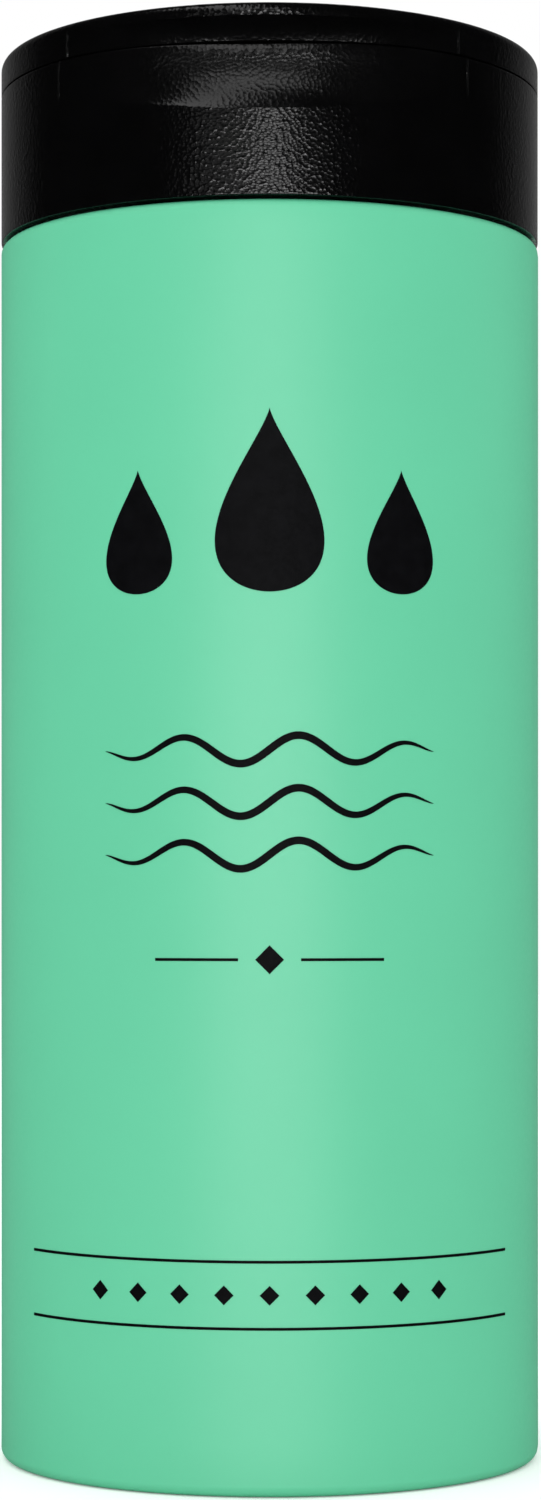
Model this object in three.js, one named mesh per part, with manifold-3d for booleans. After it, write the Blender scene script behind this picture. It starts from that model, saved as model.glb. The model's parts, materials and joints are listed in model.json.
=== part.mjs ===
// A flip-top toiletry bottle of about 125 ml: a blow-moulded bottle, a foam seal, and a screw-on closure
// whose lid swings on a living hinge. Millimetres, +Z up, origin at the centre of the base.
// The thumb scoop faces -Y and the hinge is at +Y.

import * as THREE from 'three';
import { mergeVertices } from 'three/addons/utils/BufferGeometryUtils.js';
import Module from 'manifold-3d';

const wasm = await Module();
wasm.setup();

// Bottle
const bottleRadius = 22;
const shoulderHeight = 99;
const bottleWall = 1.1;
const baseCornerRadius = 1.6;
const restingRingWidth = 3.5;
const pushUpHeight = 2.2;
const shoulderEdgeRadius = 0.7;
const neckRadius = 10.85;
const neckWall = 1.45;
const neckHeight = 9.4;
const neckFilletRadius = 1;
const landChamfer = 0.3;

// Seal between the neck's top land and the closure's deck
const linerThickness = 0.7;
const linerGap = 0.05;
const linerFit = 0.3;

// Closure, flush with the bottle
const seamGap = 0.4;
const shellWall = 1.3;
const shellEdge = 0.25;
const deckThickness = 1.2;
const rimHeight = 0.6;
const threadRoom = 1.4;
const skirtWall = 1.2;
const skirtFloorGap = 1;
const ribCount = 8;
const ribThickness = 0.9;
const ribHeight = 4.5;
const orificeRadius = 1.6;
const spoutWall = 1.8;
const spoutHeadroom = 0.5;

// Thumb scoop in the closure's front, a crescent in plan that dies out at its two ends
const scoopDepth = 1.5;
const scoopHalfAngle = THREE.MathUtils.degToRad(46.3);
const scoopHeight = 5.3;
const scoopEndHeight = 2.8;
const scoopBand = 1.2;
const coveRunOut = 1.3;

// Lid
const lidGap = 0.2;
const lidHeight = 2.8;
const lidPlate = 1.4;
const lidWall = 1.3;
const lidEdgeRadius = 0.8;
const lipThickness = 1.1;
const notchDepth = 1.3;
const notchHalfAngle = THREE.MathUtils.degToRad(43.7);
const notchBand = 1.1;
const plugClearance = 0.25;
const plugTaper = 0.15;
const plugStop = 0.4;
const sealRingClearance = 0.35;
const sealRingWall = 0.9;
const sealRingFloorGap = 0.9;

// Living hinge, on a flat cut across the back
const hingeFlatDepth = 0.8;
const hingeFlatHeight = 3.6;
const hingeMargin = 0.6;
const hingeSlot = 0.5;
const filmThickness = 0.35;
const filmRoot = 1;
const filmReach = 0.5;
const strapWidth = 3;
const strapThickness = 0.6;
const strapReach = 1.6;
const strapClearance = 0.3;

// Facets, and the depth by which joined or cut solids pass each other
const roundSegments = 60;
const smallSegments = 30;
const arcSteps = 2;
const scoopStations = 24;
const coveSteps = 6;
const weld = 0.3;
const cutMargin = 1;

// Levels and radii that follow from the sizes above, in the closure's own frame with its lower edge at 0
const neckBoreRadius = neckRadius - neckWall;
const deckUnderside = neckHeight - seamGap + linerThickness + 2 * linerGap;
const deckTop = deckUnderside + deckThickness;
const rim = deckTop + rimHeight;
const lidFoot = rim + lidGap;
const lidTop = lidFoot + lidHeight;
const lidUnderside = lidTop - lidPlate;
const shellInner = bottleRadius - shellWall;
const skirtInner = neckRadius + threadRoom;
const skirtOuter = skirtInner + skirtWall;
const spoutRadius = orificeRadius + spoutWall;
const spoutTop = lidUnderside - spoutHeadroom;
const hingeY = bottleRadius - hingeFlatDepth;
const hingeZ = rim + lidGap / 2;
const hingeHalfWidth = Math.sqrt(bottleRadius ** 2 - hingeY ** 2) - hingeMargin;

// Solids and geometry

// A closed geometry as a solid that can be joined and cut. Triangles that collapse to a line are dropped.
function solid(geometry) {
  const bare = geometry.clone();
  bare.deleteAttribute('normal');
  bare.deleteAttribute('uv');
  const merged = mergeVertices(bare, 1e-4);
  const corners = merged.index.array;
  const kept = [];
  for (let t = 0; t < corners.length; t += 3) {
    const [a, b, c] = [corners[t], corners[t + 1], corners[t + 2]];
    if (a !== b && b !== c && c !== a) kept.push(a, b, c);
  }
  const vertProperties = new Float32Array(merged.getAttribute('position').array);
  return new wasm.Manifold(new wasm.Mesh({ numProp: 3, vertProperties, triVerts: new Uint32Array(kept) }));
}

function geometryOf(body) {
  const mesh = body.getMesh();
  const geometry = new THREE.BufferGeometry();
  geometry.setAttribute('position', new THREE.BufferAttribute(new Float32Array(mesh.vertProperties), 3));
  geometry.setIndex(new THREE.BufferAttribute(new Uint32Array(mesh.triVerts), 1));
  geometry.computeVertexNormals();
  return geometry;
}

// A profile of radius and height, turned about the Z axis.
function revolve(profile, segments = roundSegments) {
  return new THREE.LatheGeometry(profile.getPoints(arcSteps), segments).rotateX(Math.PI / 2);
}

function ring(inner, outer, low, high, segments = roundSegments) {
  const profile = new THREE.Path();
  profile.moveTo(inner, low).lineTo(outer, low).lineTo(outer, high).lineTo(inner, high).lineTo(inner, low);
  return solid(revolve(profile, segments));
}

function block(xFrom, xTo, yFrom, yTo, zFrom, zTo) {
  const box = new THREE.BoxGeometry(xTo - xFrom, yTo - yFrom, zTo - zFrom);
  return solid(box.translate((xFrom + xTo) / 2, (yFrom + yTo) / 2, (zFrom + zTo) / 2));
}

// An outline of y and z, extruded along X from the middle out.
function acrossX(outline, width) {
  const options = { depth: width, bevelEnabled: false, curveSegments: 2 * coveSteps };
  const geometry = new THREE.ExtrudeGeometry(outline, options);
  const axes = [new THREE.Vector3(0, 1, 0), new THREE.Vector3(0, 0, 1), new THREE.Vector3(1, 0, 0)];
  return solid(geometry.translate(0, 0, -width / 2).applyMatrix4(new THREE.Matrix4().makeBasis(...axes)));
}

// Sections of equally many points, each convex and wound anticlockwise about the direction of travel.
function loft(sections) {
  const count = sections[0].length;
  const index = [];
  for (let s = 0; s + 1 < sections.length; s++) {
    for (let p = 0; p < count; p++) {
      const next = (p + 1) % count;
      const [a, b] = [s * count + p, s * count + next];
      index.push(a, b, b + count, a, b + count, a + count);
    }
  }
  const last = (sections.length - 1) * count;
  for (let p = 1; p + 1 < count; p++) {
    index.push(0, p + 1, p, last, last + p, last + p + 1);
  }
  const geometry = new THREE.BufferGeometry();
  const positions = sections.flat().flatMap((point) => point.toArray());
  geometry.setAttribute('position', new THREE.Float32BufferAttribute(positions, 3));
  geometry.setIndex(index);
  return solid(geometry);
}

// The arc that is depth inside the outer wall at the front and meets it at plus and minus halfAngle.
function crescent(depth, halfAngle) {
  const halfWidth = bottleRadius * Math.sin(halfAngle);
  const sagitta = bottleRadius - depth - bottleRadius * Math.cos(halfAngle);
  const radius = (halfWidth ** 2 + sagitta ** 2) / (2 * sagitta);
  const centreY = radius - (bottleRadius - depth);
  return { depth, radius, halfWidth, centreY, reach: halfWidth + cutMargin };
}

// A cutter along a crescent, or with a wall the larger form that its backing fills. Each section across X is
// a plain band, open at one end, that sweeps out as a quarter ellipse to an edge on the outer wall.
function cove(plan, wall, open, band, edgeAt) {
  const out = -bottleRadius - cutMargin;
  const sections = [];
  for (let s = 0; s <= scoopStations; s++) {
    const x = plan.reach * (2 * s / scoopStations - 1);
    const back = plan.centreY - Math.sqrt((plan.radius - wall) ** 2 - x ** 2);
    const front = -Math.sqrt(bottleRadius ** 2 - x ** 2);
    const run = coveRunOut * Math.max(back - front, plan.depth / 10);
    const rise = (edgeAt(x) - band) / Math.sqrt(1 - (1 - 1 / coveRunOut) ** 2);
    const section = [new THREE.Vector3(x, out, open), new THREE.Vector3(x, back, open)];
    for (let c = 0; c <= coveSteps; c++) {
      const turn = (c / coveSteps) * Math.PI / 2;
      const y = back - run * (1 - Math.cos(turn));
      section.push(new THREE.Vector3(x, y, band + rise * Math.sin(turn)));
    }
    section.push(new THREE.Vector3(x, out, band + rise));
    sections.push(rise > 0 ? section : section.reverse());
  }
  return loft(sections);
}

// Bottle

function bottleProfile() {
  const innerRadius = bottleRadius - bottleWall;
  const ceiling = shoulderHeight - bottleWall;
  const land = shoulderHeight + neckHeight;
  const innerCorner = Math.max(baseCornerRadius - bottleWall, bottleWall / 2);
  const pushUpRadius = bottleRadius - baseCornerRadius - restingRingWidth;
  const dome = (pushUpRadius ** 2 + pushUpHeight ** 2) / (2 * pushUpHeight);
  const domeCentre = pushUpHeight - dome;
  const domeAngle = Math.asin(pushUpRadius / dome);
  const innerDomeAngle = Math.acos((bottleWall - domeCentre) / (dome + bottleWall));
  const quarter = Math.PI / 2;
  const [corner, edge, fillet] = [baseCornerRadius, shoulderEdgeRadius, neckFilletRadius];

  const profile = new THREE.Path();
  profile.moveTo(0, pushUpHeight);
  profile.absarc(0, domeCentre, dome, quarter, quarter - domeAngle, true);
  profile.absarc(bottleRadius - corner, corner, corner, -quarter, 0);
  profile.absarc(bottleRadius - edge, shoulderHeight - edge, edge, 0, quarter);
  profile.absarc(neckRadius + fillet, shoulderHeight + fillet, fillet, -quarter, -2 * quarter, true);
  profile.lineTo(neckRadius, land - landChamfer);
  profile.lineTo(neckRadius - landChamfer, land);
  profile.lineTo(neckBoreRadius + landChamfer, land);
  profile.lineTo(neckBoreRadius, land - landChamfer);
  profile.absarc(neckBoreRadius + bottleWall, ceiling + bottleWall, bottleWall, 2 * quarter, 3 * quarter);
  profile.absarc(innerRadius - bottleWall, ceiling - bottleWall, bottleWall, quarter, 0, true);
  profile.absarc(innerRadius - innerCorner, bottleWall + innerCorner, innerCorner, 0, -quarter, true);
  profile.absarc(0, domeCentre, dome + bottleWall, quarter - innerDomeAngle, quarter);
  return profile;
}

// Closure

// The scoop's band hangs from the rim, and its lower edge is an arc in front view.
function thumbScoop(wall) {
  const plan = crescent(scoopDepth, scoopHalfAngle);
  const endRise = scoopHeight - scoopEndHeight;
  const edgeRadius = (plan.halfWidth ** 2 + endRise ** 2) / (2 * endRise);
  const lowest = rim - scoopHeight - wall;
  const edgeAt = (x) => lowest + edgeRadius - Math.sqrt(edgeRadius ** 2 - x ** 2);
  return cove(plan, wall, rim + cutMargin, rim - scoopBand, edgeAt);
}

// What is cut away to leave the flat at the back: a plane with a bevel below it.
function hingeFlat() {
  const out = hingeFlatDepth + cutMargin;
  const foot = rim - hingeFlatHeight;
  const outline = new THREE.Shape();
  outline.moveTo(hingeY, foot).lineTo(hingeY + out, foot - out).lineTo(hingeY + out, lidTop + cutMargin);
  outline.lineTo(hingeY, lidTop + cutMargin).lineTo(hingeY, foot);
  return acrossX(outline, 2 * bottleRadius);
}

function hingePockets(films, strap) {
  const behind = hingeY + hingeFlatDepth + cutMargin;
  const window = block(-hingeHalfWidth, hingeHalfWidth, hingeY - shellWall - cutMargin, behind, ...films);
  const halfStrap = strapWidth / 2 + hingeSlot;
  const pocket = block(-halfStrap, halfStrap, hingeY - strapThickness - strapClearance, behind, ...strap);
  return window.add(pocket);
}

function closureSolid() {
  const profile = new THREE.Path();
  profile.moveTo(0, 0).lineTo(bottleRadius - shellEdge, 0).lineTo(bottleRadius, shellEdge);
  profile.lineTo(bottleRadius, rim).lineTo(0, rim);
  const flatWall = block(-bottleRadius, bottleRadius, hingeY - shellWall, bottleRadius + cutMargin,
    rim - hingeFlatHeight - hingeFlatDepth - shellWall, rim + cutMargin);
  const backing = thumbScoop(shellWall).add(flatWall);
  const dish = ring(0, shellInner, deckTop, rim + cutMargin).subtract(backing);
  const well = ring(skirtOuter, shellInner, -cutMargin, deckUnderside).subtract(backing);
  const socket = ring(0, skirtInner, -cutMargin, deckUnderside);
  const skirtFoot = skirtFloorGap - seamGap;
  const belowSkirt = ring(0, skirtOuter + weld, -cutMargin, skirtFoot);

  let body = solid(revolve(profile)).subtract(thumbScoop(0)).subtract(hingeFlat());
  body = body.subtract(dish).subtract(well).subtract(socket).subtract(belowSkirt);
  for (let r = 0; r < ribCount; r++) {
    const rib = new THREE.BoxGeometry(shellInner - skirtOuter + 2 * weld, ribThickness, ribHeight + weld);
    rib.translate((shellInner + skirtOuter) / 2, 0, deckUnderside - (ribHeight - weld) / 2);
    body = body.add(solid(rib.rotateZ(2 * Math.PI * (r + 0.5) / ribCount)));
  }
  body = body.add(ring(0, spoutRadius, deckTop - weld, spoutTop, smallSegments));
  const orifice = [deckUnderside - cutMargin, spoutTop + cutMargin];
  body = body.subtract(ring(0, orificeRadius, ...orifice, smallSegments));
  const films = [rim - filmReach, rim + cutMargin];
  const strap = [rim - strapReach, rim + cutMargin];
  return body.subtract(hingePockets(films, strap));
}

// Lid

// The notch's band stands on the lid's foot and sweeps out to the lip. Its backing is plain up to the plate.
function thumbNotch() {
  const plan = crescent(notchDepth, notchHalfAngle);
  return cove(plan, 0, lidFoot - cutMargin, lidFoot + notchBand, () => lidTop - lipThickness);
}

function notchBacking() {
  const plan = crescent(notchDepth, notchHalfAngle);
  return cove(plan, lidWall, lidFoot - cutMargin, lidUnderside, () => lidUnderside + weld);
}

function lidSolid() {
  const profile = new THREE.Path();
  profile.moveTo(0, lidFoot).lineTo(bottleRadius, lidFoot);
  profile.absarc(bottleRadius - lidEdgeRadius, lidTop - lidEdgeRadius, lidEdgeRadius, 0, Math.PI / 2);
  profile.lineTo(0, lidTop);
  const flatWall = block(-bottleRadius, bottleRadius, hingeY - lidWall, bottleRadius + cutMargin,
    lidFoot - cutMargin, lidUnderside + cutMargin);
  const hollow = ring(0, bottleRadius - lidWall, lidFoot - cutMargin, lidUnderside);
  const plugTip = deckUnderside + plugStop;
  const plugRadius = orificeRadius - plugClearance;
  const root = lidUnderside + weld;
  const plug = new THREE.Path();
  plug.moveTo(0, plugTip).lineTo(plugRadius - 2 * plugTaper, plugTip);
  plug.lineTo(plugRadius - plugTaper, plugTip + plugTaper).lineTo(plugRadius, root).lineTo(0, root);
  const sealInner = spoutRadius + sealRingClearance;
  const sealOuter = sealInner + sealRingWall;
  const seal = ring(sealInner, sealOuter, deckTop + sealRingFloorGap, root, smallSegments);

  let body = solid(revolve(profile)).subtract(thumbNotch()).subtract(hingeFlat());
  body = body.subtract(hollow.subtract(notchBacking()).subtract(flatWall));
  body = body.add(solid(revolve(plug, smallSegments))).add(seal);
  const films = [lidFoot - cutMargin, lidFoot + filmReach];
  const strap = [lidFoot - cutMargin, lidFoot + strapReach];
  return body.subtract(hingePockets(films, strap));
}

// Living hinge, in a frame at its axis: the films are thinned from inside to a web on the outer face

function filmSolid() {
  const half = lidGap / 2 + filmReach;
  const width = hingeHalfWidth - strapWidth / 2 - hingeSlot;
  const outline = new THREE.Shape();
  outline.moveTo(-filmRoot, -half).lineTo(0, -half).lineTo(0, half).lineTo(-filmRoot, half);
  outline.quadraticCurveTo(filmRoot - 2 * filmThickness, 0, -filmRoot, -half);
  return acrossX(outline, width).translate([hingeHalfWidth - width / 2, 0, 0]);
}

function strapSolid() {
  const half = lidGap / 2 + strapReach;
  return block(-strapWidth / 2, strapWidth / 2, -strapThickness, 0, -half, half);
}

// Scene graph

const greenBottle = new THREE.MeshStandardMaterial({ color: 0x7ad9af, roughness: 0.45, metalness: 0 });
const blackClosure = new THREE.MeshStandardMaterial({ color: 0x101010, roughness: 0.55, metalness: 0 });
const whiteFoam = new THREE.MeshStandardMaterial({ color: 0xf0efe8, roughness: 0.9, metalness: 0 });

function piece(name, body, material) {
  const mesh = new THREE.Mesh(geometryOf(body), material.clone());
  mesh.name = name;
  return mesh;
}

const bottle = piece('bottle', solid(revolve(bottleProfile())), greenBottle);

const linerRing = ring(neckBoreRadius, skirtInner - linerFit, 0, linerThickness);
const liner = piece('sealing_liner', linerRing, whiteFoam);
liner.position.z = shoulderHeight + neckHeight + linerGap;

const hinge = new THREE.Group();
hinge.position.set(0, hingeY, hingeZ);
hinge.add(piece('flip_lid', lidSolid().translate([0, -hingeY, -hingeZ]), blackClosure));
hinge.add(piece('hinge_film_right', filmSolid(), blackClosure));
hinge.add(piece('hinge_film_left', filmSolid().mirror([1, 0, 0]), blackClosure));
hinge.add(piece('snap_strap', strapSolid(), blackClosure));

const cap = new THREE.Group();
cap.position.z = shoulderHeight + seamGap;
cap.add(piece('closure', closureSolid(), blackClosure), hinge);

const flipTopBottle = new THREE.Group();
flipTopBottle.add(bottle, liner, cap);

export default flipTopBottle;
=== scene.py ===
import json

import bmesh
import bpy
import numpy as np
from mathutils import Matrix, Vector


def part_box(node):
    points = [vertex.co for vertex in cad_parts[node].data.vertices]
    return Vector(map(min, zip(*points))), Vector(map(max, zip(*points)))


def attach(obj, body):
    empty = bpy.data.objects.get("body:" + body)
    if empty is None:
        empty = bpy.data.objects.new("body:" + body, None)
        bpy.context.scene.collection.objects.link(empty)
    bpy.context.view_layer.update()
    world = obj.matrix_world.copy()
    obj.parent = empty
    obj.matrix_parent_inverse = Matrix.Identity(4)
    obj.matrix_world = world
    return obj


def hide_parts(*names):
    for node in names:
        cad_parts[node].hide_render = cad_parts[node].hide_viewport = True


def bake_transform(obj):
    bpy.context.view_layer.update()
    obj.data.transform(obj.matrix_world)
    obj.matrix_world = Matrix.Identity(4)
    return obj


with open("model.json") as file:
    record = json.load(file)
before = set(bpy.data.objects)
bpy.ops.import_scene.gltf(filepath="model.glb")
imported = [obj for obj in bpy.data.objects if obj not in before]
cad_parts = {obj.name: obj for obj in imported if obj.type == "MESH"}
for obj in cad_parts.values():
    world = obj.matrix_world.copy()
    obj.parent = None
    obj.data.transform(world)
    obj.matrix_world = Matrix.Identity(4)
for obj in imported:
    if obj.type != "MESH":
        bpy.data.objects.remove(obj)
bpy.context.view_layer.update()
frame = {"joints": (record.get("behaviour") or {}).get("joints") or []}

# Bottle
# The container itself, blow-moulded in one piece from pigmented polyethylene: straight wall,
# pushed-up base, flat shoulder and a short threaded neck. The two mould halves leave a faint line down
# each side and a raised one across the base, where they pinched the hot tube shut.

MM = 0.001
bottle_low, bottle_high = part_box("bottle")
bottle_radius = bottle_high.x
bottle_foot = bottle_low.z
neck_top = bottle_high.z
seam_in_solids = 0.4 * MM
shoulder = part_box("closure")[0].z - seam_in_solids
bottle_wall = 1.1 * MM
base_corner = 0.9 * MM
inside_corner = 1.0 * MM
push_up_radius = 16.9 * MM
push_up = 2.2 * MM
shoulder_edge = 0.7 * MM
neck_radius = 10.85 * MM
neck_bore = 9.4 * MM
neck_fillet = 1.0 * MM
neck_lip = 0.3 * MM
mould_line_height = 0.05 * MM
mould_line_width = 0.18 * MM
pinch_height = 0.3 * MM
pinch_half = 0.4 * MM
pinch_reach = 12.5 * MM
pinch_fade = 1.5 * MM
first_wall_row = 4 * MM
last_wall_row = shoulder - 2 * MM
thread_pitch = 3.175 * MM
thread_crest = 11.9 * MM
thread_start = 101.3 * MM
thread_turns = 1.6
thread_taper = 0.06
thread_sink = 0.15 * MM
thread_root_half = 0.85 * MM
thread_crest_half = 0.3 * MM
noise_low = 0.3
noise_high = 0.7
bottle_green = (0.1145, 0.577, 0.335)


def arc(centre_r, centre_z, radius, start, end, steps=7):
    """Points of radius and height on a circle, from one angle to another in degrees: 0 is outward, 90 up."""
    turn = np.radians(np.linspace(start, end, steps))
    return np.column_stack([centre_r + radius * np.cos(turn), centre_z + radius * np.sin(turn)])


def columns(count, *added):
    """Angles from the front once round the axis, evenly spaced, with the added angles between them."""
    return np.unique(np.concatenate([np.linspace(0, 2 * np.pi, count + 1), *added]))


def turned(radius, height, angles):
    """Rows of radius r and height z carried round the upright axis: x = r sin a, y = -r cos a, with a = 0 in
    front. Radius and height may change from one angle to the next."""
    x = np.sin(angles)[:, None] * radius
    y = -np.cos(angles)[:, None] * radius
    return np.stack([x, y, np.broadcast_to(height, x.shape)], axis=-1)


def smooth_step(value, low, high):
    """0 below low, 1 above high, and 3t2 - 2t3 between them."""
    share = np.clip((value - low) / (high - low), 0, 1)
    return share * share * (3 - 2 * share)


def helix_ridge(root, crest, start, turns, turn_at=0.0):
    """A screw thread: a trapezium that is wider at its root than at its crest, carried up a helix that rises
    one pitch a turn. It sinks a little into its wall and shrinks to a point at both ends."""
    along = np.linspace(0, 1, 200)
    angles = turn_at + 2 * np.pi * turns * along
    rise = start + thread_pitch * turns * along
    size = smooth_step(np.minimum(along, 1 - along), 0, thread_taper)[:, None]
    out = np.array([-1, 0, 1, 1, 0, -1, -1])
    root_sides = np.array([-1, -1, 0, 0, 1, 1, -1]) * thread_root_half
    crest_sides = np.array([0, 0, -1, 1, 0, 0, 0]) * thread_crest_half
    height = np.where(out < 0, np.sign(crest - root) * thread_sink, crest - root) * out
    level = rise[:, None] + (root_sides + crest_sides) * np.sqrt(size)
    return turned(root + height * size, level, angles)


def skin(name, grids, material, crease=38, **marks):
    """One mesh from grids of points: quads join neighbours along both ways of each grid, points that coincide
    (seams and poles) are merged, faces turn outwards, and edges sharper than crease degrees stay sharp.
    A mark is a value for each point of the grids, kept as an attribute of the mesh."""
    quads = []
    start = 0
    for grid in grids:
        index = start + np.arange(grid.shape[0] * grid.shape[1]).reshape(grid.shape[:2])
        sides = [index[:-1, :-1], index[1:, :-1], index[1:, 1:], index[:-1, 1:]]
        quads.append(np.stack(sides, axis=-1).reshape(-1, 4))
        start += index.size
    points = np.concatenate([grid.reshape(-1, 3) for grid in grids])
    mesh = bpy.data.meshes.new(name)
    mesh.from_pydata(points, [], np.concatenate(quads).tolist())
    for mark, values in marks.items():
        layer = mesh.attributes.new(mark, "FLOAT", "POINT")
        layer.data.foreach_set("value", np.concatenate([v.ravel() for v in values]).astype(np.float32))
    work = bmesh.new()
    work.from_mesh(mesh)
    bmesh.ops.remove_doubles(work, verts=work.verts, dist=1e-7)
    bmesh.ops.recalc_face_normals(work, faces=work.faces)
    work.to_mesh(mesh)
    work.free()
    mesh.shade_smooth()
    mesh.set_sharp_from_angle(angle=np.radians(crease))
    mesh.materials.append(material)
    piece = bpy.data.objects.new(name, mesh)
    bpy.context.scene.collection.objects.link(piece)
    return piece


def finish_of(name, colour, roughness):
    """A Principled material with its plain colour and roughness on the shader's own sockets."""
    material = bpy.data.materials.new(name)
    material.use_nodes = True
    surface = material.node_tree.nodes["Principled BSDF"]
    surface.inputs["Base Color"].default_value = (*colour, 1)
    surface.inputs["Roughness"].default_value = roughness
    return material, material.node_tree, surface


def noise(tree, scale, detail=2.0):
    """Noise on the piece's Object coordinates, with about scale features in a metre."""
    place = tree.nodes.new("ShaderNodeTexCoord")
    texture = tree.nodes.new("ShaderNodeTexNoise")
    texture.inputs["Scale"].default_value = scale
    texture.inputs["Detail"].default_value = detail
    tree.links.new(place.outputs["Object"], texture.inputs["Vector"])
    return texture.outputs["Fac"]


def spread(tree, value, low, high):
    """Noise, most of which lies between noise_low and noise_high, spread evenly from low to high."""
    span = tree.nodes.new("ShaderNodeMapRange")
    span.inputs["From Min"].default_value = noise_low
    span.inputs["From Max"].default_value = noise_high
    span.inputs["To Min"].default_value = low
    span.inputs["To Max"].default_value = high
    tree.links.new(value, span.inputs["Value"])
    return span.outputs["Result"]


def shades(tree, value, dark, light):
    """A colour between dark and light, as the noise goes from low to high."""
    ramp = tree.nodes.new("ShaderNodeValToRGB")
    ramp.color_ramp.elements[0].position = noise_low
    ramp.color_ramp.elements[1].position = noise_high
    ramp.color_ramp.elements[0].color = (*dark, 1)
    ramp.color_ramp.elements[1].color = (*light, 1)
    tree.links.new(value, ramp.inputs["Fac"])
    return ramp.outputs["Color"]


def relief(tree, surface, value, depth, strength, under=None):
    """Bump of that depth in metres on the shader's normal, laid over an earlier bump if there is one."""
    bump = tree.nodes.new("ShaderNodeBump")
    bump.inputs["Distance"].default_value = depth
    bump.inputs["Strength"].default_value = strength
    tree.links.new(value, bump.inputs["Height"])
    if under:
        tree.links.new(under.outputs["Normal"], bump.inputs["Normal"])
    tree.links.new(bump.outputs["Normal"], surface.inputs["Normal"])
    return bump


def tint(colour, share):
    """The colour made lighter or darker by a share."""
    return tuple(share * np.array(colour))


def push_up_dome(radii):
    """Height of the pushed-up base: half a cosine wave, full at the axis and level at the resting ring."""
    return push_up * (0.5 + 0.5 * np.cos(np.pi * np.clip(radii / push_up_radius, 0, 1)))


# The base's rows lie closer together near the axis, where the pinched line crosses it.
dome_radii = push_up_radius * np.linspace(0, 1, 24) ** 1.6
wall_inside = bottle_radius - bottle_wall
shoulder_inside = shoulder - bottle_wall
ring_outside = bottle_radius - base_corner
floor_radii = np.linspace(wall_inside - inside_corner, 0, 20)
outside_profile = np.concatenate([
    np.column_stack([dome_radii, bottle_foot + push_up_dome(dome_radii)]),
    arc(ring_outside, bottle_foot + base_corner, base_corner, -90, 0, 9),
    np.linspace([bottle_radius, first_wall_row], [bottle_radius, last_wall_row], 25),
    arc(bottle_radius - shoulder_edge, shoulder - shoulder_edge, shoulder_edge, 0, 90, 8),
    arc(neck_radius + neck_fillet, shoulder + neck_fillet, neck_fillet, 270, 180),
    arc(neck_radius - neck_lip, neck_top - neck_lip, neck_lip, 0, 90, 5),
])
inside_profile = np.concatenate([
    arc(neck_bore + neck_lip, neck_top - neck_lip, neck_lip, 90, 180, 5),
    arc(neck_bore + neck_fillet, shoulder_inside + neck_fillet, neck_fillet, 180, 270),
    arc(wall_inside - inside_corner, shoulder_inside - inside_corner, inside_corner, 90, 0),
    arc(wall_inside - inside_corner, bottle_foot + bottle_wall + inside_corner, inside_corner, 0, -90),
    np.column_stack([floor_radii, bottle_foot + bottle_wall + push_up_dome(floor_radii)]),
])
bottle_profile = np.concatenate([outside_profile, inside_profile])
profile_radii = bottle_profile[:, 0]
profile_rows = np.arange(len(bottle_profile))
mould_sides = np.array([0.5 * np.pi, 1.5 * np.pi])
mould_steps = np.linspace(-0.6, 0.6, 13) * MM / bottle_radius
bottle_angles = columns(256, (mould_sides[:, None] + mould_steps).ravel())
from_mould_line = bottle_radius * np.cos(bottle_angles)[:, None]
on_wall = (profile_rows < len(outside_profile)) & (profile_radii > ring_outside)
mould_line = mould_line_height * np.exp(-(from_mould_line / mould_line_width) ** 2) * on_wall
on_base = profile_rows < len(dome_radii)
from_pinch = np.abs(np.cos(bottle_angles))[:, None] * profile_radii
along_pinch = np.abs(np.sin(bottle_angles))[:, None] * profile_radii
pinch_end = 1 - smooth_step(along_pinch, pinch_reach - pinch_fade, pinch_reach)
pinch_line = pinch_height * np.exp(-(from_pinch / pinch_half) ** 4) * pinch_end * on_base
bottle_shell = turned(profile_radii + mould_line, bottle_profile[:, 1] - pinch_line, bottle_angles)
neck_thread = helix_ridge(neck_radius, thread_crest, thread_start, thread_turns)

polyethylene, tree, surface = finish_of("bottle_polyethylene", bottle_green, roughness=0.44)
surface.inputs["Specular IOR Level"].default_value = 0.65
cloud = noise(tree, scale=70, detail=3)
cloudy_green = shades(tree, cloud, tint(bottle_green, 0.985), tint(bottle_green, 1.015))
tree.links.new(cloudy_green, surface.inputs["Base Color"])
tree.links.new(spread(tree, noise(tree, scale=2600), low=0.41, high=0.47), surface.inputs["Roughness"])
flow = relief(tree, surface, noise(tree, scale=260, detail=1), depth=6e-6, strength=0.5)
relief(tree, surface, noise(tree, scale=3200, detail=2), depth=2.5e-6, strength=0.5, under=flow)

bottle = skin("bottle_shell", [bottle_shell, neck_thread], polyethylene)
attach(bottle, "bottle")
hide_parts("bottle")

# Front print
# Screen-printed black ink, a film a few hundredths of a millimetre thick, cured on the front of the wall.
# Three drops, three waves, a divider, and two plain rules with a row of lozenges between them.

print_turn = np.radians(2.0)
ink_height = 0.03 * MM
ink_sink = 0.05 * MM
rule_reach = np.radians(57.6) * bottle_radius
rule_half = 0.11 * MM
rule_levels = np.array([12.9, 18.0]) * MM
drop_foot = 69.0 * MM
drop_places = np.array([-10.5, 0, 10.5]) * MM
drop_heights = np.array([9.5, 14.0, 9.5]) * MM
drop_halves = np.array([2.9, 4.2, 2.9]) * MM
wave_levels = np.array([57.0, 53.0, 49.0]) * MM
wave_reach = 13.5 * MM
wave_length = 9.0 * MM
wave_height = 1.1 * MM
wave_half = 0.3 * MM
divider_level = 41.0 * MM
divider_near = 2.4 * MM
divider_far = 9.0 * MM
divider_lozenge_half = 1.1 * MM
lozenge_places = np.linspace(-14, 14, 9) * MM
lozenge_half = 0.75 * MM
ink_black = (0.0025, 0.0025, 0.003)


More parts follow.
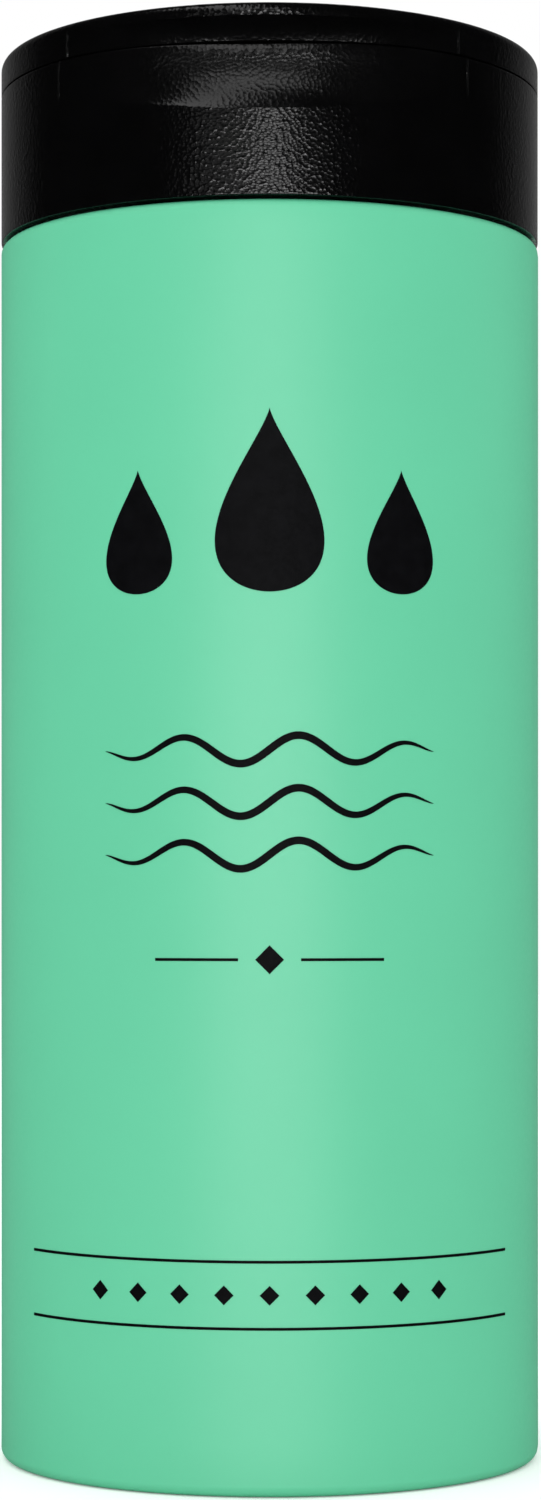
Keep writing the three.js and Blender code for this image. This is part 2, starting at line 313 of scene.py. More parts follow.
def ink_band(path, half_width, across=2):
    """A printed band along a path on the unrolled wall, given as distance round the wall and height. It
    reaches half_width to both sides of the path; its face lies just outside the wall and its back just
    inside, and a distance s round the wall becomes the angle s / radius."""
    step = np.gradient(path, axis=0)
    side = np.column_stack([-step[:, 1], step[:, 0]]) / np.linalg.norm(step, axis=1, keepdims=True)
    offset = half_width[:, None] * np.linspace(-1, 1, across)
    face = path[:, None] + side[:, None] * offset[..., None]
    loop = np.concatenate([face, face[:, ::-1], face[:, :1]], axis=1)
    lift = np.repeat([ink_height, -ink_sink, ink_height], [across, across, 1])
    turn = print_turn + loop[..., 0] / bottle_radius
    radius = bottle_radius + lift
    return np.stack([radius * np.sin(turn), -radius * np.cos(turn), loop[..., 1]], axis=-1)


def ink_rule(start, end, level, half):
    """A straight level band with square ends: half a sine wave sets the points close together at the ends."""
    share = 0.5 + 0.5 * np.sin(np.linspace(-0.5, 0.5, 101) * np.pi)
    path = np.column_stack([start + (end - start) * share, np.full_like(share, level)])
    return ink_band(path, half * (np.minimum(share, 1 - share) > 0))


def ink_drop(place, foot, height, half):
    """A filled drop, round below and pointed above: as t goes from pi to 0, its height is (1 + cos t) / 2 and
    its half width is sin t times sin(t / 2) to the power 1.6."""
    t = np.linspace(np.pi, 0, 61)
    width = np.sin(t) * np.sin(t / 2) ** 1.6
    path = np.column_stack([np.full_like(t, place), foot + height * (1 + np.cos(t)) / 2])
    return ink_band(path, half * np.abs(width) / width.max(), 13)


def ink_wave(level):
    """A sine wave that is tallest and widest in the middle and fades to a point at both ends."""
    s = np.linspace(-wave_reach, wave_reach, 181)
    fade = 1 - (s / wave_reach) ** 2
    path = np.column_stack([s, level + wave_height * np.sqrt(fade) * np.sin(2 * np.pi * s / wave_length)])
    return ink_band(path, wave_half * fade ** 0.6)


def ink_lozenge(place, level, half):
    """A small square set on its corner."""
    path = np.array([[place, level - half], [place, level], [place, level + half]])
    return ink_band(path, np.array([0, half, 0]), 5)


print_grids = [ink_rule(-rule_reach, rule_reach, level, rule_half) for level in rule_levels]
print_grids += [ink_drop(p, drop_foot, h, w) for p, h, w in zip(drop_places, drop_heights, drop_halves)]
print_grids += [ink_wave(level) for level in wave_levels]
print_grids += [ink_rule(-divider_far, -divider_near, divider_level, rule_half)]
print_grids += [ink_rule(divider_near, divider_far, divider_level, rule_half)]
print_grids += [ink_lozenge(0, divider_level, divider_lozenge_half)]
print_grids += [ink_lozenge(place, rule_levels.mean(), lozenge_half) for place in lozenge_places]

print_ink, tree, surface = finish_of("print_ink", ink_black, roughness=0.42)
surface.inputs["Specular IOR Level"].default_value = 0.04
uneven_black = shades(tree, noise(tree, scale=900, detail=3), ink_black, tint(ink_black, 1.6))
tree.links.new(uneven_black, surface.inputs["Base Color"])
tree.links.new(spread(tree, noise(tree, scale=4000), low=0.36, high=0.5), surface.inputs["Roughness"])
relief(tree, surface, noise(tree, scale=5200, detail=1), depth=2e-6, strength=0.4)

front_print = skin("front_print", print_grids, print_ink)
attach(front_print, "bottle")

# Sealing liner
# A ring punched from closed-cell polyethylene foam sheet, pressed between the neck's top and the closure's
# deck. It is held in the closure by its own spring.

liner_low, liner_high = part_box("sealing_liner")
liner_bore = 9.4 * MM
liner_edge = 0.12 * MM
foam_white = (0.74, 0.73, 0.68)

liner_profile = np.concatenate([
    arc(liner_high.x - liner_edge, liner_low.z + liner_edge, liner_edge, -90, 0, 4),
    arc(liner_high.x - liner_edge, liner_high.z - liner_edge, liner_edge, 0, 90, 4),
    arc(liner_bore + liner_edge, liner_high.z - liner_edge, liner_edge, 90, 180, 4),
    arc(liner_bore + liner_edge, liner_low.z + liner_edge, liner_edge, 180, 270, 4),
])
liner_profile = np.concatenate([liner_profile, liner_profile[:1]])
liner_ring = turned(liner_profile[:, 0], liner_profile[:, 1], columns(128))

foam, tree, surface = finish_of("seal_foam", foam_white, roughness=0.75)
cells = noise(tree, scale=5200, detail=2)
tree.links.new(shades(tree, cells, tint(foam_white, 0.9), foam_white), surface.inputs["Base Color"])
relief(tree, surface, cells, depth=3e-5, strength=0.6)

liner = skin("sealing_liner_ring", [liner_ring], foam)
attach(liner, "liner")
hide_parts("sealing_liner")

# Closure
# The screw-on base of the flip-top, injection-moulded in black polypropylene from a spark-eroded mould: a
# shell flush with the bottle, a deck with the spout, a threaded skirt and ribs. A thumb scoop is sunk in its
# front.

seam = 0.2 * MM
closure_height = 11.9 * MM
dish_depth = 0.7 * MM
deck_thickness = 1.2 * MM
closure_foot = shoulder + seam
closure_rim = closure_foot + closure_height
closure_deck = closure_rim - dish_depth
deck_underside = closure_deck - deck_thickness
shell_wall = 1.3 * MM
shell_edge = 0.1 * MM
rim_edge = 0.15 * MM
rim_round = 0.2
deck_fillet = 0.25 * MM
deck_fillet_rise = 0.6
spout_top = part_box("closure")[1].z
spout_radius = 3.4 * MM
spout_lip = 0.5 * MM
spout_fillet = 0.4 * MM
orifice = 1.6 * MM
orifice_edge = 0.35 * MM
orifice_foot = 0.2 * MM
drip_groove = 6.4 * MM
drip_groove_half = 0.6 * MM
drip_groove_depth = 0.22 * MM
skirt_inside = 12.25 * MM
skirt_outside = 13.45 * MM
skirt_foot = closure_foot + 0.8 * MM
skirt_fillet = 0.3 * MM
skirt_edge = 0.25 * MM
skirt_thread_height = 1.0 * MM
skirt_thread_turns = 1.4
skirt_thread_at = 2.6
rib_count = 8
rib_half = 0.45 * MM
rib_taper = 0.8
rib_height = 4.5 * MM
rib_into_deck = 0.2 * MM
rib_into_shell = 0.4 * MM
rib_into_skirt = 0.3 * MM
scoop_depth = 1.25 * MM
scoop_run_out = 2.5
scoop_end = np.radians(46.3)
scoop_height = 5.4 * MM
scoop_rise = 2.5 * MM
scoop_band = 1.05 * MM
scoop_slope = np.tan(np.radians(2))
cove_run = 1.3
rim_lean = 0.27 * MM
rim_lean_round = 0.9
witness_height = 0.09 * MM
witness_half = 0.1 * MM
witness_fade = 0.2 * MM
hinge_at = next(joint["pos_m"] for joint in frame["joints"] if joint["name"] == "lid_flip")
hinge_back = hinge_at[1]
hinge_foot = closure_rim - 3.7 * MM
hinge_window = 5.28 * MM
window_floor = closure_rim - 0.6 * MM
strap_pocket = 2.0 * MM
pocket_depth = 0.9 * MM
pocket_floor = closure_rim - 1.7 * MM
back_cosine = 0.5
far_away = 1.0
cap_columns = 320
edge_row = 0.25 * MM
pocket_row = 0.1 * MM
last_row = 0.05 * MM
step_half = 0.004 * MM
step_turn = 2e-4
line_turn = 0.014
flat_turn = 0.01
change_start = -0.3
change_end = 0.6
closure_black = (0.001, 0.001, 0.0011)
scoop_polish = 0.3
scoop_polish_depth = 0.02 * MM
polished_roughness = 0.3
grain_strength = 0.9
polished_grain_strength = 0.3
scoop_level = closure_rim - scoop_band
cove_end = np.arccos(1 - 1 / cove_run)
scoop_arc = ((bottle_radius * np.sin(scoop_end)) ** 2 + scoop_rise ** 2) / (2 * scoop_rise)


def from_front(angles):
    """Angles counted both ways from the front: those past half a turn become negative."""
    return np.where(angles > np.pi, angles - 2 * np.pi, angles)


def crescent(angles, depth, end, power):
    """Radius across a shallow recess in the front of the wall: full depth in the middle, fading towards both
    ends as a cosine of the distance sideways. The cosine's power says how softly the recess runs out."""
    turned_by = np.clip(from_front(angles), -end, end)
    return bottle_radius - depth * np.cos(0.5 * np.pi * np.sin(turned_by) / np.sin(end)) ** power


def cove(back, share):
    """Radius along a quarter ellipse that starts upright at the back and sweeps out to the wall as the share
    of its height goes from 0 to 1: back + run (1 - cos t), where sin t is the share of the ellipse's
    height."""
    sine = np.clip(share * np.sin(cove_end), 0, 1)
    return np.minimum(bottle_radius, back + cove_run * (bottle_radius - back) * (1 - np.sqrt(1 - sine ** 2)))


def witness_line(angles, end):
    """Height of the fine line that a mould slide leaves at both ends of its recess: a bell curve."""
    turned_by = np.abs(from_front(angles))
    return witness_height * np.exp(-(bottle_radius * (turned_by - end) / witness_half) ** 2)


def at_back(angles, distance):
    """Radius of an upright plane across the back at that distance from the axis; far outside elsewhere."""
    facing = -np.cos(angles)
    return np.where(facing > back_cosine, distance / np.maximum(facing, back_cosine), far_away)


def from_middle(angles):
    """Distance sideways from the hinge's middle, on the hinge's plane; far away on the front half."""
    return np.where(np.cos(angles) < -back_cosine, np.abs(hinge_back * np.tan(angles)), far_away)


def scoop_edge(angles):
    """Height of the scoop's lower edge: an arc that is lowest in front and rises to the scoop's two ends."""
    x = bottle_radius * np.sin(np.clip(from_front(angles), -scoop_end, scoop_end))
    return closure_rim - scoop_height + scoop_arc - np.sqrt(scoop_arc ** 2 - x ** 2)


def closure_radius(angles, height):
    """Outside radius of the closure. The scoop is a cove from its deepest level out to its lower edge, and
    above that level it leans back to the rim. The hinge's flat is a plane with a 45 degree foot and a
    pocket for the strap."""
    a = angles[:, None]
    edge = scoop_edge(a)
    back = crescent(a, scoop_depth, scoop_end, scoop_run_out)
    scoop = cove(back, (scoop_level - height) / (scoop_level - edge))
    above = np.clip((height - scoop_level) / scoop_band, 0, 1)
    lean = rim_lean * (1 - np.sqrt(1 - rim_lean_round * above ** 2)) + scoop_slope * (height - scoop_level)
    lean = lean * (bottle_radius - back) / scoop_depth
    flat = at_back(a, hinge_back + np.maximum(hinge_foot - height, 0))
    in_pocket = (from_middle(a) < strap_pocket) & (height > pocket_floor)
    flat = np.where(in_pocket, at_back(a, hinge_back - pocket_depth), flat)
    line = witness_line(a, scoop_end) * smooth_step(height, edge - witness_fade, edge + witness_fade)
    return np.minimum(np.minimum(scoop - lean, bottle_radius) + line, flat)


def around_ends(end):
    """Close-set angles across the two ends of a recess in the front."""
    steps = np.linspace(-line_turn, line_turn, 13)
    return np.concatenate([end + steps, 2 * np.pi - end + steps])


def beside(place):
    """The two angles close to either side of a place on the hinge's plane, left and right of the middle."""
    turn = np.arctan2(place, hinge_back)
    return np.pi + np.array([-turn - step_turn, -turn + step_turn, turn - step_turn, turn + step_turn])


def rows(angles, *parts):
    """The parts of a section side by side, for each angle. A part that is alike all round is repeated."""
    wide = [np.broadcast_to(part, (len(angles), np.atleast_1d(part).shape[-1])) for part in parts]
    return np.concatenate(wide, axis=1)


def front_to_back(angles, front, back):
    """Heights of rows that are spaced one way in front and another behind, changing smoothly at the sides."""
    backward = smooth_step(-np.cos(angles)[:, None], change_start, change_end)
    return front + (back - front) * backward


flat_end = np.arccos(hinge_back / bottle_radius)
flat_steps = np.linspace(-flat_turn, flat_turn, 5)
flat_ends = np.pi + np.concatenate([flat_end + flat_steps, -flat_end + flat_steps])
hinge_steps = np.concatenate([flat_ends, beside(strap_pocket), beside(hinge_window)])
cap_angles = columns(cap_columns, around_ends(scoop_end), hinge_steps)
round_cap = cap_angles[:, None]

rim_level = np.where(from_middle(round_cap) < hinge_window, window_floor, closure_rim)
wall_foot = closure_foot + shell_edge
wall_top = rim_level - rim_round * (rim_level - closure_deck)
edge_level = scoop_edge(round_cap)
cove_rows = np.sin(np.linspace(cove_end, np.radians(12), 15)[1:]) / np.sin(cove_end)
front_levels = rows(
    cap_angles,
    wall_foot + (edge_level - edge_row - wall_foot) * np.array([0, 0.01, 0.04, 0.2, 0.4, 0.6, 0.8, 1]),
    edge_level + np.array([-0.1, -0.03, 0.03]) * MM,
    scoop_level - (scoop_level - edge_level) * cove_rows,
    scoop_level + np.array([-0.4, -0.25, -0.12]) * MM,
    scoop_level + (scoop_band - rim_edge) * np.linspace(0, 1, 8),
)
bevel_foot = hinge_foot - (bottle_radius - hinge_back)
back_levels = rows(
    cap_angles,
    np.linspace(wall_foot, bevel_foot, 16),
    np.linspace(bevel_foot, hinge_foot, 4)[1:],
    np.linspace(hinge_foot, pocket_floor, 7)[1:-1],
    pocket_floor + np.array([-step_half, step_half]),
    pocket_floor + pocket_row + (wall_top - last_row - pocket_floor - pocket_row) * np.linspace(0, 1, 10),
)
wall_levels = front_to_back(cap_angles, front_levels, back_levels)
wall_radii = closure_radius(cap_angles, wall_levels)
rim_outside = closure_radius(cap_angles, rim_level)
foot_turn = np.radians(np.linspace(-90, 0, 5))
rim_turn = np.radians(np.linspace(0, 90, 5))
rim_rise = rim_level - wall_top
rim_inside = np.minimum(closure_radius(cap_angles, closure_rim), at_back(round_cap, hinge_back)) - shell_wall
deck_shares = np.linspace(1, 0, 9)[1:-1]
groove_shares = np.linspace(1, -1, 9)
groove_places = drip_groove + drip_groove_half * groove_shares
groove_levels = closure_deck - drip_groove_depth * np.cos(0.5 * np.pi * groove_shares) ** 2
groove_start = drip_groove + drip_groove_half
deck_edge = rim_inside - deck_fillet
spout_profile = np.concatenate([
    np.column_stack([groove_places, groove_levels]),
    arc(spout_radius + spout_fillet, closure_deck + spout_fillet, spout_fillet, 270, 180),
    arc(spout_radius - spout_lip, spout_top - spout_lip, spout_lip, 0, 90, 8),
    arc(orifice + orifice_edge, spout_top - orifice_edge, orifice_edge, 90, 180, 6),
    arc(orifice + orifice_foot, deck_underside + orifice_foot, orifice_foot, 180, 270, 4),
    arc(skirt_inside - skirt_fillet, deck_underside - skirt_fillet, skirt_fillet, 90, 0, 4),
    arc(skirt_inside + skirt_edge, skirt_foot + skirt_edge, skirt_edge, 180, 270, 5),
    arc(skirt_outside - skirt_edge, skirt_foot + skirt_edge, skirt_edge, 270, 360, 5),
    arc(skirt_outside + skirt_fillet, deck_underside - skirt_fillet, skirt_fillet, 180, 90, 4),
])
well_levels = np.linspace(deck_underside, wall_foot, 16)
well_radii = closure_radius(cap_angles, well_levels) - shell_wall
foot_radii = closure_radius(cap_angles, closure_foot)
closure_radii = rows(
    cap_angles,
    foot_radii - shell_edge + shell_edge * np.cos(foot_turn),
    wall_radii,
    rim_outside - rim_edge + rim_edge * np.cos(rim_turn),
    rim_inside + rim_edge - rim_edge * np.cos(rim_turn[::-1]),
    deck_edge + deck_fillet * np.cos(rim_turn),
    groove_start + (deck_edge - groove_start) * deck_shares,
    spout_profile[:, 0],
    well_radii,
    foot_radii - shell_wall + shell_edge - shell_edge * np.cos(foot_turn[::-1]),
    foot_radii - shell_edge,
)
closure_levels = rows(
    cap_angles,
    wall_foot + shell_edge * np.sin(foot_turn),
    wall_levels,
    wall_top + rim_rise * np.sin(rim_turn),
    wall_top + rim_rise * np.sin(rim_turn[::-1]),
    closure_deck + (wall_top - closure_deck) * deck_fillet_rise * (1 - np.sin(rim_turn)),
    np.full_like(deck_shares, closure_deck),
    spout_profile[:, 1],
    well_levels,
    wall_foot + shell_edge * np.sin(foot_turn[::-1]),
    closure_foot,
)
closure_shell = turned(closure_radii, closure_levels, cap_angles)
sunk = bottle_radius - closure_radii > scoop_polish_depth
in_scoop = sunk & (closure_levels > edge_level) & (np.cos(round_cap) > 0)
skirt_thread_start = thread_start + thread_pitch * (skirt_thread_at / (2 * np.pi) - 0.5)
skirt_thread_crest = skirt_inside - skirt_thread_height
skirt_thread = helix_ridge(
    skirt_inside, skirt_thread_crest, skirt_thread_start, skirt_thread_turns, skirt_thread_at
)


def well_rib(angle):
    """An upright plate between the skirt and the shell: a thin loop in thickness and height, carried outwards
    from the skirt to the inside of the shell's wall, with both ends a little way into the walls."""
    levels = deck_underside + np.array([rib_into_deck] * 2 + [-rib_height] * 2 + [rib_into_deck])
    foot_half = rib_taper * rib_half
    sides = np.array([rib_half, -rib_half, -foot_half, foot_half, rib_half])
    reach = closure_radius(np.array([angle]), levels[None]) - shell_wall + rib_into_shell
    inner = skirt_outside - rib_into_skirt
    middle = (inner + reach[0]) / 2
    radius = np.stack([np.full_like(middle, inner), middle, reach[0]])
    x = radius * np.sin(angle) + sides * np.cos(angle)
    y = -radius * np.cos(angle) + sides * np.sin(angle)
    plate = np.stack([x, y, np.broadcast_to(levels, x.shape)], axis=-1)
    ends = plate[[0, -1]].mean(axis=1, keepdims=True) + 0 * plate[[0, -1]]
    return np.concatenate([ends[:1], plate, ends[1:]])


rib_angles = 2 * np.pi * (np.arange(rib_count) + 0.5) / rib_count
closure_grids = [closure_shell, skirt_thread] + [well_rib(angle) for angle in rib_angles]


def craters(tree, scale):
    """Shallow bowls packed side by side, about scale of them in a metre, as sparks leave them in a steel
    mould: the square of the distance to the nearest of scattered points."""
    place = tree.nodes.new("ShaderNodeTexCoord")
    points = tree.nodes.new("ShaderNodeTexVoronoi")
    bowl = tree.nodes.new("ShaderNodeMath")
    points.inputs["Scale"].default_value = scale
    bowl.operation = "POWER"
    bowl.inputs[1].default_value = 2
    tree.links.new(place.outputs["Object"], points.inputs["Vector"])
    tree.links.new(points.outputs["Distance"], bowl.inputs[0])
    return bowl.outputs["Value"]


# The polish mark is 1 where the mould's core was polished, 0 on the grained outside, and low in the scoop.
polypropylene, tree, surface = finish_of("closure_polypropylene", closure_black, roughness=0.16)
polish = tree.nodes.new("ShaderNodeAttribute")
polish.attribute_name = "polish"
sheen = tree.nodes.new("ShaderNodeMix")
sheen.inputs["B"].default_value = polished_roughness
tree.links.new(polish.outputs["Fac"], sheen.inputs["Factor"])
tree.links.new(spread(tree, noise(tree, scale=3000), low=0.13, high=0.18), sheen.inputs["A"])
tree.links.new(sheen.outputs["Result"], surface.inputs["Roughness"])
speck = shades(tree, noise(tree, scale=300, detail=3), tint(closure_black, 0.8), tint(closure_black, 1.3))
tree.links.new(speck, surface.inputs["Base Color"])
fine_grain = relief(tree, surface, noise(tree, scale=9000, detail=0), depth=3e-6, strength=0.5)
coarse_grain = relief(tree, surface, craters(tree, scale=3400), 2.6e-5, grain_strength, under=fine_grain)
fade = tree.nodes.new("ShaderNodeMapRange")
fade.inputs["To Min"].default_value = grain_strength
fade.inputs["To Max"].default_value = polished_grain_strength
tree.links.new(polish.outputs["Fac"], fade.inputs["Value"])
tree.links.new(fade.outputs["Result"], coarse_grain.inputs["Strength"])

grained_rows = len(foot_turn) + wall_levels.shape[1] + len(rim_turn)
core_side = np.arange(closure_radii.shape[1]) >= grained_rows
polished = [np.where(core_side, 1, scoop_polish * in_scoop)]
polished += [np.ones(grid.shape[:2]) for grid in closure_grids[1:]]
closure = skin("closure_shell", closure_grids, polypropylene, polish=polished)
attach(closure, "closure")
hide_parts("closure")

# Flip lid
# The lid of the flip-top, moulded with the closure in the same black polypropylene. It has a lip over a thumb
# notch in front, and underneath a pin that plugs the spout and a ring that closes round it.

lid_low, lid_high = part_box("flip_lid")
pin_tip = lid_low.z
lid_top = lid_high.z
parting_gap = 0.1 * MM
lid_foot = closure_rim + parting_gap
lid_foot_edge = 0.08 * MM
lid_thickness = 1.4 * MM
lid_underside = lid_top - lid_thickness
lid_wall = 1.3 * MM
lid_edge = 0.8 * MM
lid_fillet = 0.3 * MM
notch_depth = 1.4 * MM
notch_run_out = 1
notch_end = np.radians(43.7)
notch_start = 0.45
notch_polish_depth = 0.05 * MM
lip_level = lid_top - 1.1 * MM
lid_window_top = closure_rim + 0.6 * MM
lid_pocket_top = closure_rim + 1.7 * MM
pin_root = 1.35 * MM
pin_end = 1.05 * MM
pin_fillet = 0.4 * MM
seal_ring_inside = 3.75 * MM
seal_ring_outside = 4.65 * MM
seal_ring_foot = closure_deck + 0.9 * MM
ring_round = 0.3 * MM
inner_fillet = 0.2 * MM
outer_fillet = 0.3 * MM
underside_start = 7 * MM
underside_end = 18 * MM
gate_radius = 1.5 * MM
gate_depth = 0.2 * MM

lid_angles = columns(cap_columns, around_ends(notch_end), hinge_steps)
round_lid = lid_angles[:, None]
lip_radius = np.minimum(bottle_radius, at_back(round_lid, hinge_back))
notch_back = crescent(round_lid, notch_depth, notch_end, notch_run_out)
foot_level = np.where(from_middle(round_lid) < hinge_window, lid_window_top, lid_foot)


def lid_radius(height):
    """Outside radius of the lid below its top edge: the notch's cove, which already leans outwards at the
    foot, with a fine line up each end; the hinge's flat across the back, and the strap's pocket in it."""
    notch = cove(notch_back, notch_start + (1 - notch_start) * (height - lid_foot) / (lip_level - lid_foot))
    notch = notch + witness_line(round_lid, notch_end)
    in_pocket = (from_middle(round_lid) < strap_pocket) & (height < lid_pocket_top)
    flat = at_back(round_lid, np.where(in_pocket, hinge_back - pocket_depth, hinge_back))
    return np.minimum(notch, flat)


pin_profile = np.concatenate([
    arc(0, pin_tip + pin_end, pin_end, -90, -8, 9),
    np.linspace([pin_end, pin_tip + pin_end], [pin_root, lid_underside - pin_fillet], 8),
    arc(pin_root + pin_fillet, lid_underside - pin_fillet, pin_fillet, 180, 90, 5)[1:],
    arc(seal_ring_inside - inner_fillet, lid_underside - inner_fillet, inner_fillet, 90, 0, 4),
    arc(seal_ring_inside + ring_round, seal_ring_foot + ring_round, ring_round, 180, 270, 5),
    arc(seal_ring_outside - ring_round, seal_ring_foot + ring_round, ring_round, 270, 360, 5),
    arc(seal_ring_outside + outer_fillet, lid_underside - outer_fillet, outer_fillet, 180, 90, 5),
    np.linspace([underside_start, lid_underside], [underside_end, lid_underside], 6),
])
foot_top = foot_level + lid_foot_edge
front_levels = rows(
    lid_angles,
    foot_top + (lip_level - foot_top) * np.sin(np.linspace(0, 0.5 * np.pi, 14)),
    lip_level + np.array([0.03, 0.1]) * MM,
)
back_levels = rows(
    lid_angles,
    foot_top + (lid_pocket_top - step_half - foot_top) * np.linspace(0, 1, 11),
    lid_pocket_top + np.array([0.004, 0.05, 0.12, 0.2, 0.28]) * MM,
)
lid_wall_levels = front_to_back(lid_angles, front_levels, back_levels)
inner_wall = np.minimum(notch_back, lip_radius) - lid_wall
inner_round = np.radians(np.linspace(90, 0, 5))
top_round = np.radians(np.linspace(0, 90, 11))
gate_turn = np.linspace(0, 0.5 * np.pi, 8)
top_shares = np.linspace(1, 0, 11)[1:-1]
top_inside = lip_radius - lid_edge
lid_radii = rows(
    lid_angles,
    pin_profile[:, 0],
    inner_wall - lid_fillet + lid_fillet * np.cos(inner_round),
    inner_wall + lid_foot_edge - lid_foot_edge * np.cos(foot_turn[::-1]),
    lid_radius(foot_level) - lid_foot_edge + lid_foot_edge * np.cos(foot_turn),
    lid_radius(lid_wall_levels),
    top_inside + lid_edge * np.cos(top_round),
    gate_radius + (top_inside - gate_radius) * top_shares,
    gate_radius * np.cos(gate_turn),
)
lid_levels = rows(
    lid_angles,
    pin_profile[:, 1],
    lid_underside - lid_fillet + lid_fillet * np.sin(inner_round),
    foot_top + lid_foot_edge * np.sin(foot_turn[::-1]),
    foot_top + lid_foot_edge * np.sin(foot_turn),
    lid_wall_levels,
    lid_top - lid_edge + lid_edge * np.sin(top_round),
    np.full_like(top_shares, lid_top),
    lid_top - gate_depth * np.sin(gate_turn) ** 2,
)
lid_shell = turned(lid_radii, lid_levels, lid_angles)
sunk = bottle_radius - lid_radii > notch_polish_depth
in_notch = sunk & (lid_levels < lip_level) & (np.cos(round_lid) > 0)
core_side = np.arange(lid_radii.shape[1]) < len(pin_profile) + len(inner_round) + len(foot_turn)
polished = [np.where(core_side, 1, scoop_polish * in_notch)]
lid = skin("flip_lid_shell", [lid_shell], polypropylene, polish=polished)
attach(lid, "lid")
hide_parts("flip_lid")

# Living hinge
# Two thin films and a middle strap that join lid and closure at the back, moulded with them in one shot. The
# films fold at a groove on their inner side, and the strap snaps the lid over into its open position.

film_root = 1.0 * MM
film_web = 0.35 * MM
strap_half = 1.5 * MM
strap_thickness = 0.6 * MM


def hinge_strip(left, right, low, high, thickness):
    """A strip across the hinge: a loop of its outer face and its inner face, whose distance at each height is
    the thickness given there, carried sideways from left to right and closed at both ends."""
    steps = 9
    levels = np.linspace(low, high, len(thickness))
    depth = np.concatenate([0 * thickness, thickness[::-1], [0]])
    height = np.concatenate([levels, levels[::-1], levels[:1]])
    places = np.concatenate([[left], np.linspace(left, right, steps), [right]])
    middle = np.array([1] + [0] * steps + [1])[:, None]
    y = hinge_back - depth * (1 - middle) - middle * depth.mean()
    z = height * (1 - middle) + middle * height.mean()
    x = np.broadcast_to(places[:, None], y.shape)
    return np.stack([x, y, z], axis=-1)


film_rows = film_web + (film_root - film_web) * np.linspace(-1, 1, 33) ** 2
film_span = (window_floor, lid_window_top, film_rows)
strap_span = (pocket_floor, lid_pocket_top, np.full(49, strap_thickness))
pieces_of_hinge = {
    "hinge_film_right": hinge_strip(strap_pocket, hinge_window, *film_span),
    "hinge_film_left": hinge_strip(-hinge_window, -strap_pocket, *film_span),
    "snap_strap": hinge_strip(-strap_half, strap_half, *strap_span),
}
for name, strip in pieces_of_hinge.items():
    piece = skin(name + "_web", [strip], polypropylene, polish=[np.zeros(strip.shape[:2])])
    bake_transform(piece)
    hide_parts(name)

# Studio
# A pale floor under a white surround that is brightest overhead. Soft lights stand in front, low and wide or
# small and high, with one overhead, one behind and a fill at each side. A dim dome, seen only in reflections,
# keeps the black closure dark between the lights.

floor_size = 1.5
floor_drop = 0.02 * MM
floor_glow = 0.18
dome_radius = 1.2
floor_pale = (0.97, 0.97, 0.97)
faces_back = (90, 0, 0)
faces_front = (-90, 0, 0)
faces_down = (0, 0, 0)
faces_right = (0, -90, 0)
faces_left = (0, 90, 0)


def seen_directly(tree):
    """1 where the camera sees the surface, also mirrored or through glass, and 0 where its light falls on
    something."""
    ray = tree.nodes.new("ShaderNodeLightPath")
    mirrored = tree.nodes.new("ShaderNodeMath")
    through = tree.nodes.new("ShaderNodeMath")
    mirrored.operation = "MAXIMUM"
    through.operation = "MAXIMUM"
    tree.links.new(ray.outputs["Is Camera Ray"], mirrored.inputs[0])
    tree.links.new(ray.outputs["Is Glossy Ray"], mirrored.inputs[1])
    tree.links.new(mirrored.outputs["Value"], through.inputs[0])
    tree.links.new(ray.outputs["Is Transmission Ray"], through.inputs[1])
    return through.outputs["Value"]


floor_material, tree, surface = finish_of("floor_pale", floor_pale, roughness=0.8)
lift = tree.nodes.new("ShaderNodeMapRange")
lift.inputs["To Max"].default_value = floor_glow
tree.links.new(seen_directly(tree), lift.inputs["Value"])
tree.links.new(lift.outputs["Result"], surface.inputs["Emission Strength"])
surface.inputs["Emission Color"].default_value = (1, 1, 1, 1)
surface.inputs["Specular IOR Level"].default_value = 0
uneven_pale = shades(tree, noise(tree, scale=40), tint(floor_pale, 0.99), floor_pale)
tree.links.new(uneven_pale, surface.inputs["Base Color"])
side = np.linspace(-floor_size, floor_size, 21)
floor_points = np.stack(np.meshgrid(side, side, [-floor_drop], indexing="ij"), axis=-1)[:, :, 0]
floor = skin("floor", [floor_points], floor_material)
floor.visible_glossy = False

dome_material = bpy.data.materials.new("dome_dim")
dome_material.use_nodes = True
tree = dome_material.node_tree
tree.nodes.clear()
glow = tree.nodes.new("ShaderNodeEmission")
output = tree.nodes.new("ShaderNodeOutputMaterial")
tree.links.new(glow.outputs["Emission"], output.inputs["Surface"])
place = tree.nodes.new("ShaderNodeTexCoord")
split = tree.nodes.new("ShaderNodeSeparateXYZ")
tree.links.new(place.outputs["Object"], split.inputs["Vector"])
toward_back = tree.nodes.new("ShaderNodeMapRange")
toward_back.inputs["From Min"].default_value = 0.45
toward_back.inputs["From Max"].default_value = dome_radius
toward_back.inputs["To Min"].default_value = 0.003
toward_back.inputs["To Max"].default_value = 0.18
tree.links.new(split.outputs["Y"], toward_back.inputs["Value"])
tree.links.new(toward_back.outputs["Result"], glow.inputs["Strength"])
dome_profile = arc(0, 0, dome_radius, -90, 90, 25)
dome = skin("dome", [turned(dome_profile[:, 0], dome_profile[:, 1], columns(48))], dome_material)
dome.visible_camera = False
dome.visible_diffuse = False
dome.visible_transmission = False
dome.visible_shadow = False


def soft_light(name, place, facing, width, height, radiance):
    """An area light turned by the facing angles in degrees; its power is radiance times pi times its area."""
    lamp = bpy.data.lights.new(name, "AREA")
    lamp.shape = "RECTANGLE"
    lamp.size = width
    lamp.size_y = height
    lamp.energy = radiance * np.pi * width * height
    light = bpy.data.objects.new(name, lamp)
    light.location = place
    light.rotation_euler = np.radians(facing)
    light.visible_camera = False
    bpy.context.scene.collection.objects.link(light)
    return light


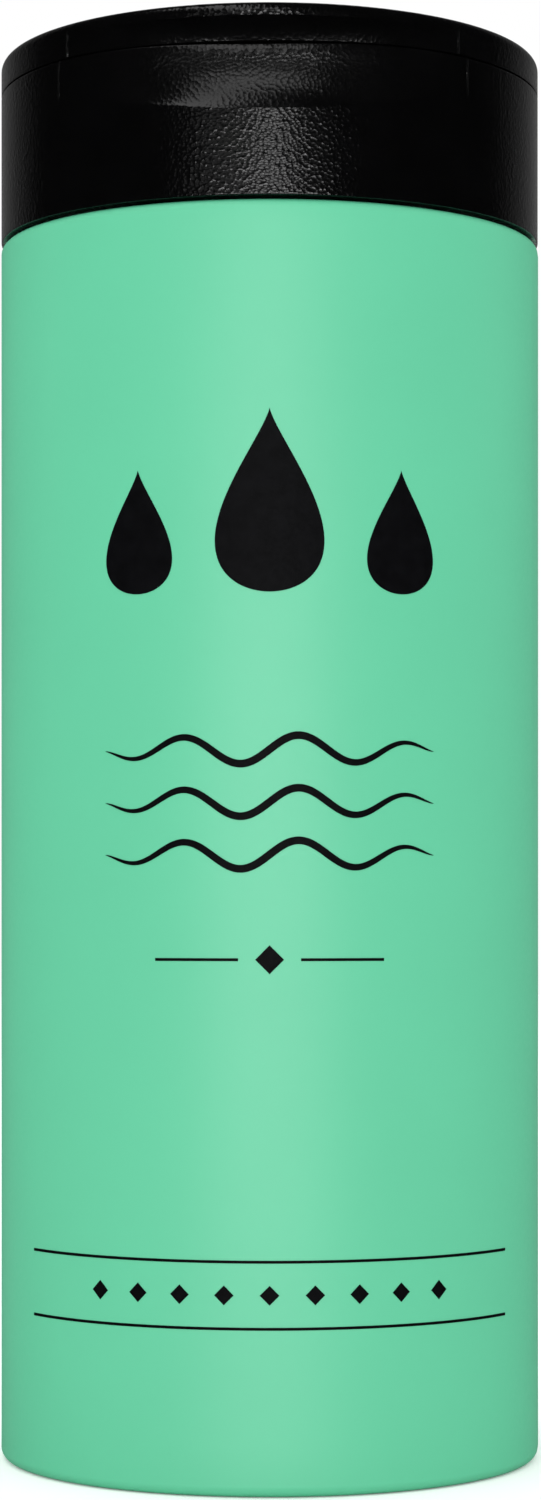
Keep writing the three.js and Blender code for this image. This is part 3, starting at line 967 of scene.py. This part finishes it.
# Each light: name, place, the way it faces, width and height in metres, and radiance.
soft_light("low_light", (0.02, -0.75, 0.065), faces_back, 0.68, 0.13, 6.0)
soft_light("front_light", (0.035, -0.75, 0.262), faces_back, 0.17, 0.055, 6.6)
soft_light("left_light", (-0.28, -0.75, 0.27), faces_back, 0.34, 0.06, 0.6)
soft_light("upper_light", (-0.05, -0.75, 0.66), faces_back, 0.22, 0.28, 1.0)
soft_light("upper_wide", (-0.09, -0.76, 0.66), faces_back, 0.42, 0.28, 0.7)
soft_light("top_light", (-0.2, -0.38, 0.8), faces_down, 0.25, 0.74, 1.3)
soft_light("back_light", (0, 0.75, 0.42), faces_front, 0.2, 0.8, 0.5)
soft_light("left_fill", (-0.6, 0.28, 0.35), faces_right, 0.4, 0.4, 2.05).visible_glossy = False
soft_light("right_fill", (0.6, 0.28, 0.35), faces_left, 0.4, 0.4, 2.05).visible_glossy = False

world = bpy.data.worlds.new("surround")
world.use_nodes = True
tree = world.node_tree
place = tree.nodes.new("ShaderNodeTexCoord")
split = tree.nodes.new("ShaderNodeSeparateXYZ")
overhead = tree.nodes.new("ShaderNodeMapRange")
overhead.inputs["From Min"].default_value = 0.15
overhead.inputs["From Max"].default_value = 0.6
overhead.inputs["To Min"].default_value = 0.31
overhead.inputs["To Max"].default_value = 0.97
level = tree.nodes.new("ShaderNodeMix")
level.inputs["B"].default_value = 1.0
tree.links.new(place.outputs["Generated"], split.inputs["Vector"])
tree.links.new(split.outputs["Z"], overhead.inputs["Value"])
tree.links.new(seen_directly(tree), level.inputs["Factor"])
tree.links.new(overhead.outputs["Result"], level.inputs["A"])
surround = tree.nodes["Background"]
surround.inputs["Color"].default_value = (1, 1, 1, 1)
tree.links.new(level.outputs["Result"], surround.inputs["Strength"])
bpy.context.scene.world = world
bpy.context.scene.view_settings.view_transform = "Standard"

camera_turn = np.radians(2.0)
camera_distance = 0.2894
camera_height = 0.0451
camera_data = bpy.data.cameras.new("camera")
camera_data.sensor_width = 36
camera_data.lens = 84.4
camera_data.shift_x = 0.0006
camera_data.shift_y = 0.1039
camera_data.clip_start = 0.01
camera = bpy.data.objects.new("camera", camera_data)
camera.location = (
    camera_distance * np.sin(camera_turn),
    -camera_distance * np.cos(camera_turn),
    camera_height,
)
camera.rotation_euler = (np.pi / 2, 0, camera_turn)
bpy.context.scene.collection.objects.link(camera)
bpy.context.scene.camera = camera
